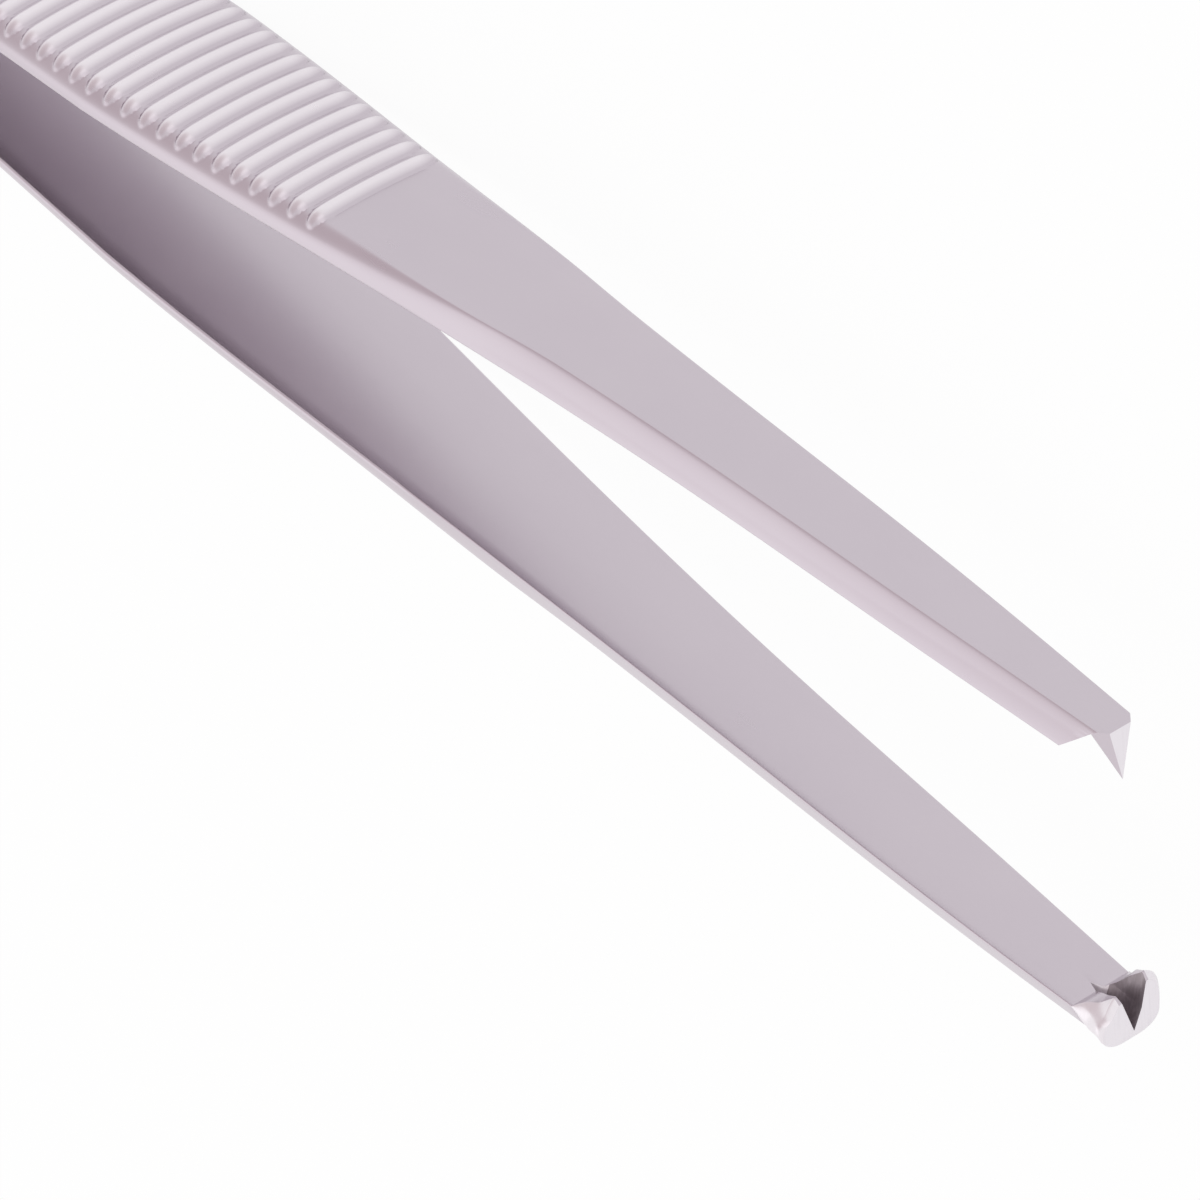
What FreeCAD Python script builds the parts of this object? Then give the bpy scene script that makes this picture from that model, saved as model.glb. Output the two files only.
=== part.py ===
"""Toothed thumb forceps, lying on their side: two sprung blades joined at the heel.

Frame, in millimetres: X runs from the heel to the tips, Y across the opening, Z up.
The origin is midway along the length, between the blades, on the surface below.
Both blades are shaped above the weld plane, Y = 0, about their own middle, Z = 0.
The lower one is then mirrored, and both are raised until their edges stand on Z = 0.
"""
import FreeCAD, Part
import math
import os
import Sketcher

Vector = FreeCAD.Vector

# Driving sizes: name, value, meaning. Lengths are in millimetres and angles in degrees.
SIZES = [
    ("overall_length", 145.0, "heel to tips"),
    ("weld_length", 21.8, "stretch where the two blades lie flat together"),
    ("splay_angle", 3.8, "slope of each blade away from the middle"),
    ("tip_bow", 1.31, "how far each blade bows back inward at its tip"),
    ("side_angle", 17.0, "lean of the side faces, inner face wider"),
    ("tip_width", 2.68, "inner face at the tip"),
    ("shank_width", 4.42, "inner face halfway to the neck"),
    ("neck_width", 6.75, "inner face just ahead of the ribs"),
    ("grip_width", 9.1, "inner face along the ribbed grip"),
    ("spring_width", 7.7, "inner face behind the grip"),
    ("root_width", 6.9, "inner face where the blades meet"),
    ("heel_width", 6.5, "inner face at the heel"),
    ("tip_thickness", 1.34, "blade at the tip"),
    ("grip_thickness", 1.5, "blade along the grip, without the ribs"),
    ("spring_thickness", 1.2, "blade behind the grip"),
    ("heel_thickness", 1.15, "blade at the heel"),
    ("crown_radius", 31.0, "crown of the outer face across the grip"),
    ("crown_cut", 0.02, "metal taken off along the middle by the crown"),
    ("heel_bend_radius", 160.0, "outer face where the blades part"),
    ("heel_end_radius", 3.7, "rounding of the end of the heel"),
    ("neck_run", 3.0, "plain stretch between the neck and the first rib"),
    ("grip_lead", 16.0, "first rib to where the grip has its full width"),
    ("first_rib", 48.6, "tip to the middle of the first rib"),
    ("rib_pitch", 1.3, "rib to rib"),
    ("rib_count", 27, "ribs on each blade"),
    ("rib_height", 0.3, "rib above the face between ribs"),
    ("rib_land", 0.24, "flat between two ribs"),
    ("rib_margin", 0.05, "rib end to the edge of the outer face"),
    ("jaw_length", 2.1, "tip to the end of the flat inner face"),
    ("jaw_slope_angle", 40.4, "slope of the paired teeth and of the recesses for them"),
    ("tooth_reach", 1.27, "single tooth beyond the inner face"),
    ("tooth_end_width", 1.04, "single tooth across the outer face at its end"),
    ("shoulder_width", 1.78, "single tooth across its shoulders"),
    ("shoulder_back", 0.57, "shoulders behind the end"),
    ("shoulder_drop", 0.27, "shoulders below the outer face"),
    ("twin_point_back", 0.2, "points of the paired teeth behind the end"),
    ("twin_point_spacing", 1.62, "point to point"),
    ("twin_point_fall", 0.15, "points down to the end face"),
    ("twin_flank_back", 0.94, "where the flanks start to draw in, behind the end"),
    ("twin_flank_drop", 0.7, "end face corners down to the widest part"),
    ("twin_flare", 2.76, "width across the paired teeth at the end"),
    ("twin_base_width", 1.3, "outer face across the end"),
    ("twin_base_round", 0.5, "height of the rounded corners of the end"),
    ("twin_end_thin", 0.36, "outer face drawn in at the end"),
    ("twin_seat", 0.02, "root of the paired teeth inside the faces of the blade"),
    ("notch_angle", 40.0, "angle between the walls of the notch"),
    ("notch_floor", 0.2, "metal under the notch at the end"),
    ("notch_run", 1.9, "length of the level floor of the notch"),
    ("notch_tail", 0.55, "run of the notch into the flat inner face"),
]


def make_sizes(doc):
    """Sheet of the driving sizes, each with its name as alias."""
    sheet = doc.addObject("Spreadsheet::Sheet", "Sizes")
    for row, (alias, value, meaning) in enumerate(SIZES, start=1):
        sheet.set(f"A{row}", meaning)
        sheet.set(f"B{row}", str(value))
        sheet.setAlias(f"B{row}", alias)
    doc.recompute()
    return sheet


doc = FreeCAD.newDocument("ThumbForceps")
sheet = make_sizes(doc)


def size(alias):
    """Value of one driving size."""
    return float(sheet.get(alias))


# Distances back from the tip, as numbers and as expressions on the sheet.
LENGTH = size("overall_length")
NECK_BACK = size("first_rib") - size("neck_run")
GRIP_END_BACK = size("first_rib") + size("rib_count") * size("rib_pitch")
WELD_BACK = LENGTH - size("weld_length")
SPRING_BACK = (GRIP_END_BACK + WELD_BACK) / 2
NECK = "(Sizes.first_rib - Sizes.neck_run)"
WELD = "(Sizes.overall_length - Sizes.weld_length)"
GRIP_END = "(Sizes.first_rib + Sizes.rib_count * Sizes.rib_pitch)"
SPRING = f"(({GRIP_END} + {WELD}) / 2)"
TIP_GAP = f"({WELD} * tan(Sizes.splay_angle) - Sizes.tip_bow)"

SLOPE = math.tan(math.radians(size("splay_angle")))
LEAN = math.tan(math.radians(size("side_angle")))
JAW_SLOPE = math.tan(math.radians(size("jaw_slope_angle")))


def point(back, height, across=0.0):
    """Point of the model at a distance back from the tip."""
    return Vector(LENGTH / 2 - back, height, across)


def inner_height(back):
    """Height of the inner face over the weld plane."""
    height = max(0.0, (WELD_BACK - back) * SLOPE)
    if back < NECK_BACK:
        height -= size("tip_bow") * ((NECK_BACK - back) / NECK_BACK) ** 2
    return height


def feature(name, shape):
    """Object that holds a shape made in code."""
    made = doc.addObject("Part::Feature", name)
    made.Shape = shape
    made.Placement = FreeCAD.Placement()
    return made


def cut(name, base, tool):
    """Boolean cut of one object by another."""
    made = doc.addObject("Part::Cut", name)
    made.Base = base
    made.Tool = tool
    return made


def common(name, base, tool):
    """What two objects share."""
    made = doc.addObject("Part::Common", name)
    made.Base = base
    made.Tool = tool
    return made


def fuse(name, shapes):
    """Boolean union of objects."""
    made = doc.addObject("Part::MultiFuse", name)
    made.Shapes = shapes
    made.Refine = True
    return made


def closed_solid(faces):
    """Solid inside faces that meet along their edges."""
    shell = Part.Shell(faces)
    shell.sewShape()
    solid = Part.Solid(shell)
    if solid.Volume < 0:
        solid.reverse()
    return solid


def faceted_solid(corners, faces):
    """Convex solid with flat faces, each given by the indexes of its corners."""
    middle = sum(corners, Vector()) / len(corners)
    flats = []
    for face in faces:
        loop = [corners[index] for index in face]
        if (loop[1] - loop[0]).cross(loop[2] - loop[1]).dot(loop[0] - middle) < 0:
            loop.reverse()
        flats.append(Part.Face(Part.makePolygon(loop + loop[:1])))
    return closed_solid(flats)


def dimension(sketch, kind, refs, value, name, expression):
    """Add one driving dimension to a sketch and tie it to the sheet."""
    index = sketch.addConstraint(Sketcher.Constraint(kind, *refs, value))
    sketch.renameConstraint(index, name)
    sketch.setExpression(f"Constraints.{name}", expression)


def add_side_profile(body):
    """Side view of the blade: weld, straight spring and grip, and a bowed shank."""
    plane = next(p for p in body.Origin.OriginFeatures if p.Role == "XY_Plane")
    sketch = body.newObject("Sketcher::SketchObject", "SideProfile")
    sketch.AttachmentSupport = (plane, [""])
    sketch.MapMode = "FlatFace"
    grip = size("grip_thickness") + size("crown_cut")
    tip = inner_height(0.0)
    spring_top = inner_height(SPRING_BACK) + size("spring_thickness")
    heel_top = size("heel_thickness")
    bend_reach = size("heel_bend_radius") * math.tan(math.radians(size("splay_angle")) / 2)
    bend_back = SPRING_BACK + (spring_top - heel_top) / SLOPE
    heel_inner, weld_edge = point(LENGTH, 0), point(WELD_BACK, 0)
    neck_inner, tip_inner = point(NECK_BACK, inner_height(NECK_BACK)), point(0, tip)
    tip_outer = point(0, tip + size("tip_thickness"))
    neck_outer = point(NECK_BACK, inner_height(NECK_BACK) + grip)
    grip_outer = point(GRIP_END_BACK, inner_height(GRIP_END_BACK) + grip)
    spring_outer = point(SPRING_BACK, spring_top)
    bend_start = point(bend_back - bend_reach, heel_top + bend_reach * SLOPE)
    bend_end, heel_outer = point(bend_back + bend_reach, heel_top), point(LENGTH, heel_top)

    def bowed(start, end):
        """Middle of a shallow arc between two points, a quarter of the bow above them."""
        return (start + end) / 2 + Vector(0, size("tip_bow") / 4, 0)

    bend_middle = (bend_start + bend_end) / 2 - Vector(0, bend_reach * SLOPE / 4, 0)
    weld, splay, inner_bow, tip_end, outer_bow, grip_line, taper, spring, bend, heel_line, heel_end = (
        sketch.addGeometry([
            Part.LineSegment(heel_inner, weld_edge),
            Part.LineSegment(weld_edge, neck_inner),
            Part.Arc(neck_inner, bowed(neck_inner, tip_inner), tip_inner),
            Part.LineSegment(tip_inner, tip_outer),
            Part.Arc(neck_outer, bowed(neck_outer, tip_outer), tip_outer),
            Part.LineSegment(neck_outer, grip_outer),
            Part.LineSegment(grip_outer, spring_outer),
            Part.LineSegment(spring_outer, bend_start),
            Part.Arc(bend_start, bend_middle, bend_end),
            Part.LineSegment(bend_end, heel_outer),
            Part.LineSegment(heel_outer, heel_inner),
        ], False))
    start, end, origin = 1, 2, -1
    # The bows run clockwise and the bend anticlockwise, so an arc's own start is its right end.
    for first, first_end, second, second_end in (
            (weld, end, splay, start), (inner_bow, start, tip_end, start),
            (tip_end, end, outer_bow, start), (grip_line, end, taper, start),
            (taper, end, spring, start), (heel_line, end, heel_end, start),
            (heel_end, end, weld, start)):
        sketch.addConstraint(Sketcher.Constraint("Coincident", first, first_end, second, second_end))
    for first, first_end, second, second_end in (
            (splay, end, inner_bow, end), (outer_bow, end, grip_line, start),
            (spring, end, bend, end), (bend, start, heel_line, start)):
        sketch.addConstraint(Sketcher.Constraint("Tangent", first, first_end, second, second_end))
    for line in (weld, heel_line):
        sketch.addConstraint(Sketcher.Constraint("Horizontal", line))
    for line in (tip_end, heel_end):
        sketch.addConstraint(Sketcher.Constraint("Vertical", line))
    sketch.addConstraint(Sketcher.Constraint("Vertical", splay, end, grip_line, start))
    for line in (grip_line, spring):
        sketch.addConstraint(Sketcher.Constraint("Parallel", splay, line))
    sketch.addConstraint(Sketcher.Constraint("PointOnObject", weld, start, origin))
    half, tangent = "Sizes.overall_length / 2", "tan(Sizes.splay_angle)"
    spring_run = f"({WELD} - {GRIP_END}) / 2"
    for kind, refs, value, name, expression in (
            ("DistanceX", (weld, start, origin, start), LENGTH / 2, "HeelBack", half),
            ("DistanceX", (weld, start, weld, end), size("weld_length"), "Weld", "Sizes.weld_length"),
            ("DistanceX", (splay, start, splay, end), WELD_BACK - NECK_BACK, "Splayed", f"{WELD} - {NECK}"),
            ("DistanceY", (splay, start, splay, end), inner_height(NECK_BACK), "Rise",
             f"({WELD} - {NECK}) * {tangent}"),
            ("DistanceX", (origin, start, tip_end, start), LENGTH / 2, "TipForward", half),
            ("DistanceY", (origin, start, tip_end, start), tip, "TipGap", TIP_GAP),
            ("DistanceY", (tip_end, start, tip_end, end), size("tip_thickness"), "TipThickness",
             "Sizes.tip_thickness"),
            ("DistanceY", (splay, end, grip_line, start), grip, "GripThickness",
             "Sizes.grip_thickness + Sizes.crown_cut"),
            ("DistanceX", (weld, end, grip_line, end), WELD_BACK - GRIP_END_BACK, "GripEnd",
             f"{WELD} - {GRIP_END}"),
            ("DistanceX", (weld, end, taper, end), WELD_BACK - SPRING_BACK, "SpringRun", spring_run),
            ("DistanceY", (weld, end, taper, end), spring_top, "SpringTop",
             f"{spring_run} * {tangent} + Sizes.spring_thickness"),
            ("Radius", (bend,), size("heel_bend_radius"), "HeelBend", "Sizes.heel_bend_radius"),
            ("DistanceY", (heel_end, end, heel_end, start), heel_top, "HeelThickness",
             "Sizes.heel_thickness")):
        dimension(sketch, kind, refs, value, name, expression)
    return sketch


def make_side_blank():
    """Bar with the side view of the blade, as wide as the grip."""
    body = doc.addObject("PartDesign::Body", "SideBlank")
    sketch = add_side_profile(body)
    doc.recompute()
    pad = body.newObject("PartDesign::Pad", "SideBar")
    pad.Profile = sketch
    pad.Midplane = True
    pad.setExpression("Length", "Sizes.grip_width")
    doc.recompute()
    return body


# Inner face width at its stations, from the tip to the heel.
WIDTH_STATIONS = [
    (0.0, "tip_width"),
    (NECK_BACK / 2, "shank_width"),
    (NECK_BACK, "neck_width"),
    (size("first_rib") + size("grip_lead"), "grip_width"),
    (GRIP_END_BACK - 4 * size("rib_pitch"), "grip_width"),
    (SPRING_BACK, "spring_width"),
    (WELD_BACK, "root_width"),
    (LENGTH, "heel_width"),
]


def edge_curve(offset, side):
    """Smooth curve on a side face, at an offset above the inner face."""
    backs = [back for back, alias in WIDTH_STATIONS]
    places = [point(back, inner_height(back) + offset, side * (size(alias) / 2 - LEAN * offset))
              for back, alias in WIDTH_STATIONS]
    curve = Part.BSplineCurve()
    curve.interpolate(Points=places, Parameters=backs)
    return curve


def make_side_trim():
    """Solid between the two leaning side faces, from below the blade to above it."""
    below = -size("grip_thickness") / 2
    above = 2 * size("grip_thickness")
    low, high = [[edge_curve(offset, side).toShape() for side in (-1, 1)] for offset in (below, above)]
    faces = [Part.makeRuledSurface(first, second) for first, second in (
        (low[0], low[1]), (low[1], high[1]), (high[1], high[0]), (high[0], low[0]))]
    for index in (0, 1):
        corners = [edge.Vertexes[index].Point for edge in (low[0], low[1], high[1], high[0])]
        faces.append(Part.Face(Part.makePolygon(corners + corners[:1])))
    return feature("SideTrim", closed_solid(faces))


def crown_axis(back):
    """Point on the axis of the crown, which runs along under the straight of the blade."""
    crest = (WELD_BACK - back) * SLOPE + size("grip_thickness")
    return point(back, crest - size("crown_radius") / math.cos(math.radians(size("splay_angle"))))


def make_crown_bar():
    """Long bar whose top is the crown, from the spring to past the tip."""
    bar = doc.addObject("Part::Cylinder", "CrownBar")
    bar.setExpression("Radius", "Sizes.crown_radius")
    bar.setExpression("Height", f"{WELD} + Sizes.crown_radius")
    along = crown_axis(0.0) - crown_axis(LENGTH)
    bar.Placement = FreeCAD.Placement(crown_axis(WELD_BACK), FreeCAD.Rotation(Vector(0, 0, 1), along))
    return bar


def make_rear_block():
    """Block around the plain rear of a blade, which the crown doesn't reach."""
    block = doc.addObject("Part::Box", "RearBlock")
    block.setExpression("Length", f"Sizes.overall_length - {SPRING} - Sizes.heel_end_radius")
    block.setExpression("Width", "2 * Sizes.crown_radius")
    block.setExpression("Height", "2 * Sizes.grip_width")
    block.setExpression("Placement.Base.x", "Sizes.heel_end_radius - Sizes.overall_length / 2")
    block.setExpression("Placement.Base.y", "-Sizes.crown_radius")
    block.setExpression("Placement.Base.z", "-Sizes.grip_width")
    return block


def make_heel_post():
    """Upright bar that rounds the end of the heel."""
    post = doc.addObject("Part::Cylinder", "HeelPost")
    post.setExpression("Radius", "Sizes.heel_end_radius")
    post.setExpression("Height", "2 * Sizes.crown_radius")
    post.Placement = FreeCAD.Placement(Vector(0, 0, 0), FreeCAD.Rotation(Vector(1, 0, 0), -90))
    post.setExpression("Placement.Base.x", "Sizes.heel_end_radius - Sizes.overall_length / 2")
    post.setExpression("Placement.Base.y", "-Sizes.crown_radius")
    return post


def make_grip_stock():
    """Metal over the grip, from which the ribs are shaped."""
    run = (GRIP_END_BACK - NECK_BACK) / math.cos(math.radians(size("splay_angle")))
    stock = doc.addObject("Part::Box", "GripStock")
    stock.Length = run
    stock.setExpression("Width", "Sizes.grip_thickness")
    stock.setExpression("Height", "Sizes.grip_width")
    corner = point(GRIP_END_BACK, inner_height(GRIP_END_BACK) + size("rib_height") + size("crown_cut"))
    stock.Placement = FreeCAD.Placement(corner, FreeCAD.Rotation(Vector(0, 0, 1), size("splay_angle")))
    stock.setExpression("Placement.Base.z", "-Sizes.grip_width / 2")
    return stock


def make_plain_bar():
    """Bar with the side view and the leaning sides of a blade."""
    return common("LeaningSides", fuse("Blank", [make_side_blank(), make_grip_stock()]), make_side_trim())


def make_rib(number, inner_edge):
    """One rounded rib, a tube that follows the crown, sunk in the blade and bevelled at its ends."""
    back, rise = size("first_rib") + number * size("rib_pitch"), size("rib_height")
    half_base = (size("rib_pitch") - size("rib_land")) / 2
    tube = (half_base ** 2 + rise ** 2) / (2 * rise)
    ring = size("crown_radius") - (tube - rise)
    edge_height = size("grip_thickness") - size("grip_width") ** 2 / (8 * size("crown_radius"))
    end = inner_edge.value(back).z - LEAN * edge_height - size("rib_margin")
    end_height = math.sqrt(size("crown_radius") ** 2 - end ** 2)
    half_turn = math.asin((end + rise) / ring)
    center = crown_axis(back)
    along = (crown_axis(0.0) - crown_axis(LENGTH)).normalize()
    outward = Vector(-along.y, along.x, 0)
    start = center + outward * ring * math.cos(half_turn) - Vector(0, 0, ring * math.sin(half_turn))
    sweep = outward * math.sin(half_turn) + Vector(0, 0, math.cos(half_turn))
    disc = Part.Face(Part.Wire(Part.makeCircle(tube, start, sweep)))
    bow = disc.revolve(center, along, 2 * math.degrees(half_turn))
    low, high = end_height - rise, size("crown_radius") + 2 * rise
    outline = [(low, -end - rise), (low, end + rise),
               (high, end + end_height - high), (high, high - end - end_height)]
    corners = [center + along * side * tube + outward * height + Vector(0, 0, across)
               for side in (-1, 1) for height, across in outline]
    return bow.common(faceted_solid(corners, [
        (0, 1, 2, 3), (4, 5, 6, 7), (0, 1, 5, 4), (1, 2, 6, 5), (2, 3, 7, 6), (3, 0, 4, 7)]))


def make_ribs():
    """Ribs of the grip, each as wide as the outer face where it stands."""
    inner_edge = edge_curve(0.0, 1)
    ribs = [make_rib(number, inner_edge) for number in range(int(size("rib_count")))]
    return feature("GripRibs", Part.makeCompound(ribs))


TIP_INNER = inner_height(0.0)
TIP_OUTER = TIP_INNER + size("tip_thickness")


def plane_across(first, second, third):
    """Function that gives a plane's across value at a distance back and a height."""
    normal = (second - first).cross(third - first)

    def across(back, height):
        """Across value of the plane there."""
        offset = point(back, height) - first
        return first.z - (normal.x * offset.x + normal.y * offset.y) / normal.z

    return across


def make_single_tooth(blank):
    """Upper blade: its end cut to a pointed tooth with a sloping recess on each side."""
    reach = TIP_INNER - size("tooth_reach")
    shoulder_height = TIP_OUTER - size("shoulder_drop")
    shoulder = point(size("shoulder_back"), shoulder_height, size("shoulder_width") / 2)
    end_corner = point(0.0, TIP_OUTER, size("tooth_end_width") / 2)
    apex = point(0.0, reach)
    root_height = inner_height(size("jaw_length"))
    root = point(size("jaw_length"), root_height)
    end_facet = plane_across(shoulder, end_corner, apex)
    side_facet = plane_across(shoulder, apex, root)

    clear = 1.0
    low = reach - clear
    recess = [(-clear, low),
              (-clear, shoulder_height + JAW_SLOPE * (size("shoulder_back") + clear)),
              (size("shoulder_back") + (shoulder_height - low) / JAW_SLOPE, low)]
    trims = []
    for facet in (end_facet, side_facet):
        top = max(facet(*corner) for corner in recess) + clear
        for side in (-1, 1):
            inner_side = [point(back, height, side * facet(back, height)) for back, height in recess]
            outer_side = [point(back, height, side * top) for back, height in recess]
            trims.append(faceted_solid(inner_side + outer_side,
                                       [(0, 1, 2), (3, 4, 5), (0, 1, 4, 3), (1, 2, 5, 4), (2, 0, 3, 5)]))
    recessed = cut("RecessedEnd", blank, feature("ToothRecesses", trims[0].multiFuse(trims[1:])))

    sunk = TIP_INNER + size("tip_thickness") / 4
    share = (sunk - reach) / (shoulder_height - reach)
    keel = point(size("jaw_length") * (sunk - reach) / (root_height - reach), sunk)
    tops = [apex + (shoulder - apex) * share, point(0.0, sunk, end_facet(0.0, sunk))]
    mirrored = [Vector(corner.x, corner.y, -corner.z) for corner in tops]
    tooth = faceted_solid([apex, keel] + tops + mirrored,
                          [(0, 3, 5), (0, 2, 3), (0, 4, 5), (0, 1, 2), (0, 1, 4), (1, 2, 3, 5, 4)])
    return fuse("SingleToothEnd", [recessed, feature("SingleTooth", tooth)])


def twin_outline(back, half):
    """Outline across the paired teeth, from heights and half widths of one side of it."""
    places = [point(back, height, width) for height, width in half]
    places += [point(back, height, -width) for height, width in reversed(half)]
    return Part.makePolygon(places + places[:1])


def make_twin_nose():
    """Hooked end of the lower blade, before the notch parts it into two teeth."""
    jaw, seat = size("jaw_length"), size("twin_seat")
    half_points, half_flare = size("twin_point_spacing") / 2, size("twin_flare") / 2
    inner_edge = edge_curve(0.0, 1)
    outlines = []
    for back in (jaw + 20 * seat, jaw):
        inner, half_width = inner_height(back), inner_edge.value(back).z - seat
        corner = size("tip_thickness") - size("twin_base_round")
        outlines.append(twin_outline(back, [
            (inner + size("tip_thickness") - seat, half_width - LEAN * size("tip_thickness")),
            (inner + corner, half_width - LEAN * corner),
            (inner + seat, half_width),
            (inner + seat, half_points)]))
    flank_back, point_back = size("twin_flank_back"), size("twin_point_back")
    end_outer = TIP_OUTER - size("twin_end_thin")
    end_corner = end_outer - size("twin_base_round")
    end_point = inner_height(jaw) - JAW_SLOPE * (jaw - point_back)
    flank_top = inner_height(jaw) - JAW_SLOPE * (jaw - flank_back)
    end_flank = end_point + size("twin_flank_drop")
    thinned = size("twin_end_thin") * (1 - flank_back / jaw) ** 2
    outlines.append(twin_outline(flank_back, [
        (TIP_OUTER - thinned, half_flare - LEAN * size("tip_thickness") - seat),
        (TIP_OUTER - thinned - size("twin_base_round"), half_flare - LEAN * size("twin_base_round") - seat),
        (flank_top + seat, half_flare - 2 * seat),
        (flank_top, half_points)]))
    outlines.append(twin_outline(point_back, [
        (end_outer + size("twin_point_fall"), size("twin_base_width") / 2 + 2 * seat),
        (end_corner + size("twin_point_fall") / 2, half_flare),
        (end_flank, half_flare),
        (end_point, half_points)]))
    outlines.append(twin_outline(0.0, [
        (end_outer, size("twin_base_width") / 2),
        (end_corner, half_flare),
        (end_flank + size("twin_point_fall"), half_flare),
        (end_point + size("twin_point_fall"), half_points - seat)]))
    return feature("TwinNose", Part.makeLoft(outlines, True, True))


def make_notch():
    """What parts the paired teeth: a straight V that runs out into the flat inner face."""
    floor = TIP_OUTER - size("twin_end_thin") - size("notch_floor")
    top = TIP_INNER - JAW_SLOPE * size("jaw_length") - size("notch_floor")
    half_open = (floor - top) * math.tan(math.radians(size("notch_angle")) / 2)
    run, ahead = size("notch_run"), -size("jaw_length")
    tail_back = size("jaw_length") + size("notch_tail")
    tail_rise = (floor - top) / (floor - inner_height(tail_back))
    corners = [point(ahead, floor), point(ahead, top, half_open), point(ahead, top, -half_open),
               point(run, floor), point(run, top, half_open), point(run, top, -half_open),
               point(run + (tail_back - run) * tail_rise, top)]
    return feature("Notch", faceted_solid(corners, [
        (0, 1, 2), (0, 3, 4, 1), (0, 3, 5, 2), (3, 6, 4), (3, 6, 5), (1, 4, 6, 5, 2)]))


def make_twin_teeth(blank):
    """Lower blade, still above the weld plane: a flared, hooked end notched into two teeth."""
    trim = doc.addObject("Part::Box", "EndTrim")
    trim.setExpression("Length", "2 * Sizes.jaw_length")
    trim.setExpression("Width", f"{TIP_GAP} + 2 * Sizes.tip_thickness")
    trim.setExpression("Height", "2 * Sizes.grip_width")
    trim.setExpression("Placement.Base.x", "Sizes.overall_length / 2 - Sizes.jaw_length")
    trim.setExpression("Placement.Base.z", "-Sizes.grip_width")
    hooked = fuse("HookedBlade", [cut("ShortBlade", blank, trim), make_twin_nose()])
    return cut("TwinToothEnd", hooked, make_notch())


bar = make_plain_bar()
doc.recompute()
outside = fuse("Outside", [make_crown_bar(), make_rear_block(), make_heel_post(), make_ribs()])
upper = common("UpperBlade", make_single_tooth(bar), outside)
upper.Label = "single_tooth_blade"
lower = doc.addObject("Part::Mirroring", "LowerMirrored")
lower.Source = common("LowerBlade", make_twin_teeth(bar), outside)
lower.Normal = (0, 1, 0)
lower.Label = "double_tooth_blade"
for blade in (upper, lower):
    blade.setExpression("Placement.Base.z", "Sizes.grip_width / 2")
doc.recompute()

for made in doc.Objects:
    if "Invalid" in made.State or "Error" in made.State:
        raise RuntimeError(f"{made.Label} didn't recompute: {made.State}")
os.makedirs("parts", exist_ok=True)
for blade in (upper, lower):
    if blade.Shape.isNull() or not blade.Shape.isValid() or len(blade.Shape.Solids) != 1:
        raise RuntimeError(f"{blade.Label} isn't one valid solid")
    blade.Shape.exportStep(f"parts/{blade.Label}.step")
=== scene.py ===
"""Toothed thumb forceps in satin steel, lying on their side on a white table.

Lengths are in metres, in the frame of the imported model: +X from the heel to the tips,
+Y across the opening toward the blade with one tooth, +Z up. "Back" is a distance back
from the tips, "height" one above the plane between the blades, "across" one from the
middle of a blade's width. Both blades are shaped on the +Y side; the lower is mirrored last.
"""
import math

import bmesh
import bpy
import numpy
from bpy.props import FloatProperty, FloatVectorProperty, IntProperty, PointerProperty
from bpy.types import Operator, Panel, PropertyGroup
from mathutils import Matrix, Vector


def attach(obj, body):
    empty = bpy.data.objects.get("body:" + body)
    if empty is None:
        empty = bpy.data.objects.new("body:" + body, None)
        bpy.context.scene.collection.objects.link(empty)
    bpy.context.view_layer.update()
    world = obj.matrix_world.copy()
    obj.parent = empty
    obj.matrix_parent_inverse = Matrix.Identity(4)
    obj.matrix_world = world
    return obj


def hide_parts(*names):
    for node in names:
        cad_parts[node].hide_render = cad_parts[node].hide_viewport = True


bl_info = {
    "name": "Toothed Thumb Forceps",
    "version": (1, 0, 0),
    "blender": (4, 5, 0),
    "location": "View3D > Sidebar > Forceps",
    "description": "Builds toothed thumb forceps in satin steel",
    "category": "Object",
}

MM = 0.001
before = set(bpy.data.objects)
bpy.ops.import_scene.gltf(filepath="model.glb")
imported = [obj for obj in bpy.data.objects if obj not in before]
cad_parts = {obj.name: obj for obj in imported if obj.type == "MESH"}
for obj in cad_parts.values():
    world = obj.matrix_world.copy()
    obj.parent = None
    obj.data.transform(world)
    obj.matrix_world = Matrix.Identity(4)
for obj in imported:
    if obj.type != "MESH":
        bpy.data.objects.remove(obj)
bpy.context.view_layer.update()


# Sizes and colours

def length(name, description, millimetres):
    """Property for a length, with its default in millimetres."""
    return FloatProperty(name=name, description=description, default=millimetres * MM,
                         precision=5, unit="LENGTH")


def angle(name, description, degrees):
    """Property for an angle, with its default in degrees."""
    return FloatProperty(name=name, description=description, default=math.radians(degrees),
                         precision=4, subtype="ANGLE")


def share(name, description, value):
    """Property for a share between nothing and all."""
    return FloatProperty(name=name, description=description, default=value, min=0.0, max=1.0,
                         subtype="FACTOR")


def tint(name, description, value):
    """Property for a colour."""
    return FloatVectorProperty(name=name, description=description, default=value, size=3,
                               min=0.0, max=1.0, subtype="COLOR")


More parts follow.
